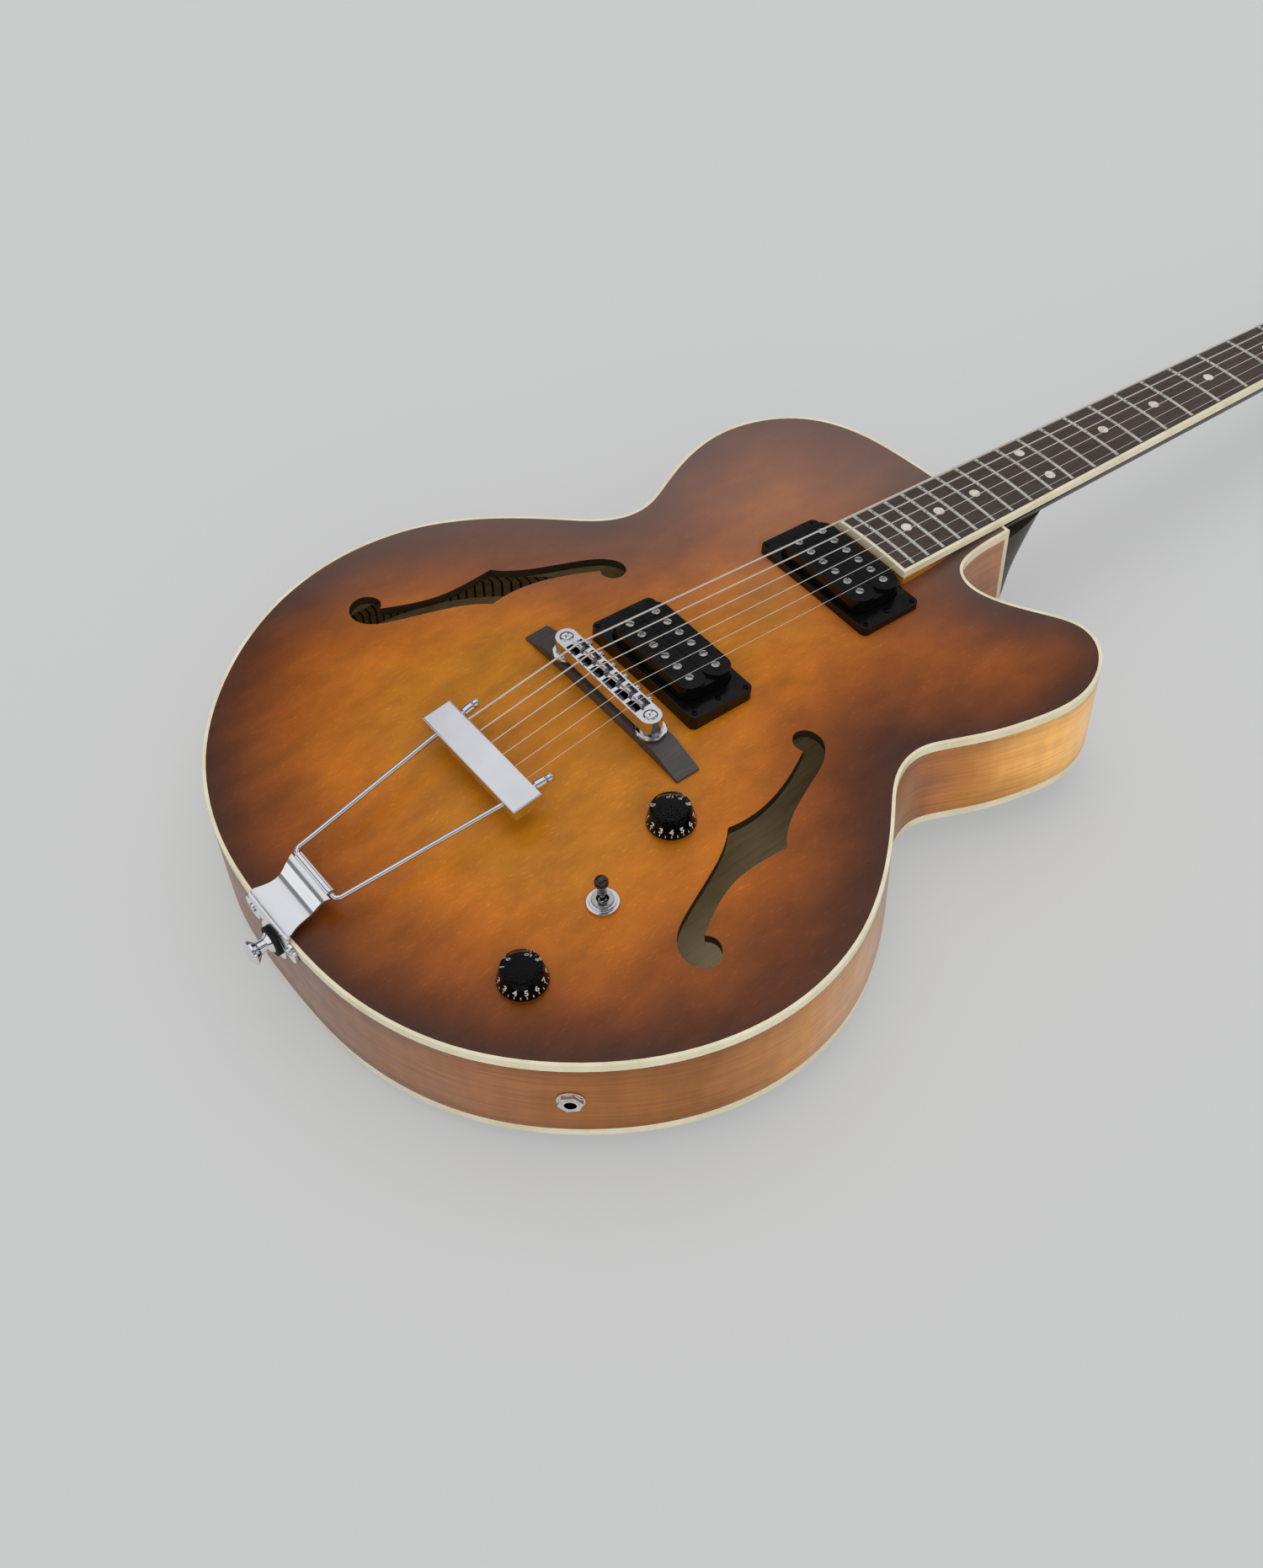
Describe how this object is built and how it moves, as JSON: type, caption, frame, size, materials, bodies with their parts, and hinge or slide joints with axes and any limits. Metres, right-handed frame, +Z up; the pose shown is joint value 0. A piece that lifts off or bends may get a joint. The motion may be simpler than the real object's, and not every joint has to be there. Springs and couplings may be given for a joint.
{
  "type": "archtop electric guitar",
  "caption": "Hollow archtop guitar with a cutaway, f-holes, a floating bridge, a trapeze tailpiece, pickups, control knobs, a switch and geared tuners.",
  "frame": {"origin": "on the floor under the middle of the bounding box, the guitar lying on its back", "axes": "+Y from the strap button towards the head, +X towards the treble side, +Z up, out of the soundboard"},
  "size_m": [0.411, 1.0335, 0.1164],
  "materials": {
    "sunburst_top": "satin lacquer, amber middle to dark brown edge",
    "sunburst_back": "satin lacquer, brown to dark edge",
    "rib_wood": "satin lacquer, dark brown",
    "inner_wood": "bare",
    "cream_binding": "satin cream",
    "neck_wood": "satin lacquer",
    "dark_wood": "oiled, dark",
    "fret_wire": "polished crown",
    "pearl_dots": "pearl white",
    "bone_nut": "off-white",
    "black_veneer": "black lacquer",
    "black_plastic": "black",
    "steel": "plain",
    "string_steel": "wound and plain wire",
    "chrome": "bright plate",
    "black_felt": "felt"
  },
  "bodies": {
    "body": {"soundboard": "sunburst_top", "back_plate": "sunburst_back", "bass_rib": "rib_wood", "treble_rib": "rib_wood", "linings": "inner_wood", "tone_bars": "inner_wood", "end_blocks": "inner_wood", "body_binding": "cream_binding", "fretboard_binding": "cream_binding", "heel_cap": "cream_binding", "neck": "neck_wood", "fretboard": "dark_wood", "bridge_base": "dark_wood", "frets": "fret_wire", "position_dots": "pearl_dots", "nut": "bone_nut", "head_veneer": "black_veneer", "truss_rod_cover": "black_plastic", "pickup_rings": "black_plastic", "truss_rod": "steel", "control_bodies": "steel", "jack_socket": "steel", "strings": "string_steel", "tuner_housings": "chrome", "tuner_bushings": "chrome", "bridge_posts": "chrome", "tailpiece_bracket": "chrome", "strap_button": "chrome", "control_nuts": "chrome", "felt_washer": "black_felt"},
    "neck_pickup": {"neck_pickup": "black_plastic"},
    "bridge_pickup": {"bridge_pickup": "black_plastic"},
    "volume_knob": {"volume_knob": "black_plastic"},
    "tone_knob": {"tone_knob": "black_plastic"},
    "switch_lever": {"switch_lever": "chrome"},
    "thumbwheel_bass": {"thumbwheel_bass": "chrome"},
    "thumbwheel_treble": {"thumbwheel_treble": "chrome"},
    "saddle_1": {"saddle_1": "chrome"},
    "saddle_2": {"saddle_2": "chrome"},
    "saddle_3": {"saddle_3": "chrome"},
    "saddle_4": {"saddle_4": "chrome"},
    "saddle_5": {"saddle_5": "chrome"},
    "saddle_6": {"saddle_6": "chrome"},
    "tuner_post_1": {"tuner_post_1": "chrome"},
    "tuner_post_2": {"tuner_post_2": "chrome"},
    "tuner_post_3": {"tuner_post_3": "chrome"},
    "tuner_post_4": {"tuner_post_4": "chrome"},
    "tuner_post_5": {"tuner_post_5": "chrome"},
    "tuner_post_6": {"tuner_post_6": "chrome"},
    "tuner_key_1": {"tuner_key_1": "chrome"},
    "tuner_key_2": {"tuner_key_2": "chrome"},
    "tuner_key_3": {"tuner_key_3": "chrome"},
    "tuner_key_4": {"tuner_key_4": "chrome"},
    "tuner_key_5": {"tuner_key_5": "chrome"},
    "tuner_key_6": {"tuner_key_6": "chrome"},
    "trapeze": {"tailpiece_rods": "chrome", "tailpiece_bar": "chrome"},
    "bridge": {"bridge_body": "chrome"}
  },
  "joints": [
    {"name": "volume_turn", "type": "hinge", "parent": "body", "child": "volume_knob", "pos_m": [0.08549, -0.31028, 0.08839], "axis": [0, -0.0341, 0.9994], "range_deg": [-150, 150]},
    {"name": "tone_turn", "type": "hinge", "parent": "body", "child": "tone_knob", "pos_m": [0.11249, -0.42373, 0.07685], "axis": [0, -0.0341, 0.9994], "range_deg": [-150, 150]},
    {"name": "switch_throw", "type": "hinge", "parent": "body", "child": "switch_lever", "pos_m": [0.10201, -0.36695, 0.08427], "axis": [1, 0, 0], "range_deg": [-12, 12]},
    {"name": "bridge_height", "type": "slide", "parent": "body", "child": "bridge", "axis": [0, -0.0341, 0.9994], "range_m": [-0.001, 0.004], "deforming": ["strings"]},
    {"name": "thumbwheel_bass_turn", "type": "hinge", "parent": "bridge", "child": "thumbwheel_bass", "pos_m": [-0.037, -0.28549, 0.10138], "axis": [0, -0.0341, 0.9994], "range_deg": [-520, 2060]},
    {"name": "thumbwheel_treble_turn", "type": "hinge", "parent": "bridge", "child": "thumbwheel_treble", "pos_m": [0.037, -0.28549, 0.10138], "axis": [0, -0.0341, 0.9994], "range_deg": [-520, 2060]},
    {"name": "saddle_1_intonation", "type": "slide", "parent": "bridge", "child": "saddle_1", "axis": [0, 0.9994, 0.0341], "range_m": [-0.0015, 0.0015]},
    {"name": "saddle_2_intonation", "type": "slide", "parent": "bridge", "child": "saddle_2", "axis": [0, 0.9994, 0.0341], "range_m": [-0.0015, 0.0015]},
    {"name": "saddle_3_intonation", "type": "slide", "parent": "bridge", "child": "saddle_3", "axis": [0, 0.9994, 0.0341], "range_m": [-0.0015, 0.0015]},
    {"name": "saddle_4_intonation", "type": "slide", "parent": "bridge", "child": "saddle_4", "axis": [0, 0.9994, 0.0341], "range_m": [-0.0015, 0.0015]},
    {"name": "saddle_5_intonation", "type": "slide", "parent": "bridge", "child": "saddle_5", "axis": [0, 0.9994, 0.0341], "range_m": [-0.0015, 0.0015]},
    {"name": "saddle_6_intonation", "type": "slide", "parent": "bridge", "child": "saddle_6", "axis": [0, 0.9994, 0.0341], "range_m": [-0.0015, 0.0015]},
    {"name": "bridge_pickup_height", "type": "slide", "parent": "body", "child": "bridge_pickup", "axis": [0, 0.0688, 0.9976], "range_m": [-0.002, 0.002]},
    {"name": "neck_pickup_height", "type": "slide", "parent": "body", "child": "neck_pickup", "axis": [0, 0.0688, 0.9976], "range_m": [-0.002, 0.002]},
    {"name": "trapeze_hinge", "type": "hinge", "parent": "body", "child": "trapeze", "pos_m": [0, -0.47207, 0.0859], "axis": [1, 0, 0], "range_deg": [-1.5, 2], "deforming": ["strings"]},
    {"name": "tuner_key_1_turn", "type": "hinge", "parent": "body", "child": "tuner_key_1", "pos_m": [0.0245, 0.38689, 0.03299], "axis": [1, 0, 0], "continuous": true},
    {"name": "tuner_post_1_turn", "type": "hinge", "parent": "body", "child": "tuner_post_1", "pos_m": [0.0245, 0.3923, 0.05094], "axis": [0, 0.2888, 0.9574], "continuous": true},
    {"name": "tuner_key_2_turn", "type": "hinge", "parent": "body", "child": "tuner_key_2", "pos_m": [0.0245, 0.42518, 0.02144], "axis": [1, 0, 0], "continuous": true},
    {"name": "tuner_post_2_turn", "type": "hinge", "parent": "body", "child": "tuner_post_2", "pos_m": [0.0245, 0.4306, 0.03939], "axis": [0, 0.2888, 0.9574], "continuous": true},
    {"name": "tuner_key_3_turn", "type": "hinge", "parent": "body", "child": "tuner_key_3", "pos_m": [0.0245, 0.46348, 0.00989], "axis": [1, 0, 0], "continuous": true},
    {"name": "tuner_post_3_turn", "type": "hinge", "parent": "body", "child": "tuner_post_3", "pos_m": [0.0245, 0.46889, 0.02784], "axis": [0, 0.2888, 0.9574], "continuous": true},
    {"name": "tuner_key_4_turn", "type": "hinge", "parent": "body", "child": "tuner_key_4", "pos_m": [-0.0245, 0.46348, 0.00989], "axis": [-1, 0, 0], "continuous": true},
    {"name": "tuner_post_4_turn", "type": "hinge", "parent": "body", "child": "tuner_post_4", "pos_m": [-0.0245, 0.46889, 0.02784], "axis": [0, 0.2888, 0.9574], "continuous": true},
    {"name": "tuner_key_5_turn", "type": "hinge", "parent": "body", "child": "tuner_key_5", "pos_m": [-0.0245, 0.42518, 0.02144], "axis": [-1, 0, 0], "continuous": true},
    {"name": "tuner_post_5_turn", "type": "hinge", "parent": "body", "child": "tuner_post_5", "pos_m": [-0.0245, 0.4306, 0.03939], "axis": [0, 0.2888, 0.9574], "continuous": true},
    {"name": "tuner_key_6_turn", "type": "hinge", "parent": "body", "child": "tuner_key_6", "pos_m": [-0.0245, 0.38689, 0.03299], "axis": [-1, 0, 0], "continuous": true},
    {"name": "tuner_post_6_turn", "type": "hinge", "parent": "body", "child": "tuner_post_6", "pos_m": [-0.0245, 0.3923, 0.05094], "axis": [0, 0.2888, 0.9574], "continuous": true}
  ],
  "couplings": [
    {"joint": "tuner_post_1_turn", "follows": "tuner_key_1_turn", "ratio": 0.071429},
    {"joint": "tuner_post_2_turn", "follows": "tuner_key_2_turn", "ratio": 0.071429},
    {"joint": "tuner_post_3_turn", "follows": "tuner_key_3_turn", "ratio": 0.071429},
    {"joint": "tuner_post_4_turn", "follows": "tuner_key_4_turn", "ratio": -0.071429},
    {"joint": "tuner_post_5_turn", "follows": "tuner_key_5_turn", "ratio": -0.071429},
    {"joint": "tuner_post_6_turn", "follows": "tuner_key_6_turn", "ratio": -0.071429},
    {"joint": "thumbwheel_bass_turn", "follows": "bridge_height", "rad_per_m": 8976},
    {"joint": "thumbwheel_treble_turn", "follows": "bridge_height", "rad_per_m": 8976}
  ]
}
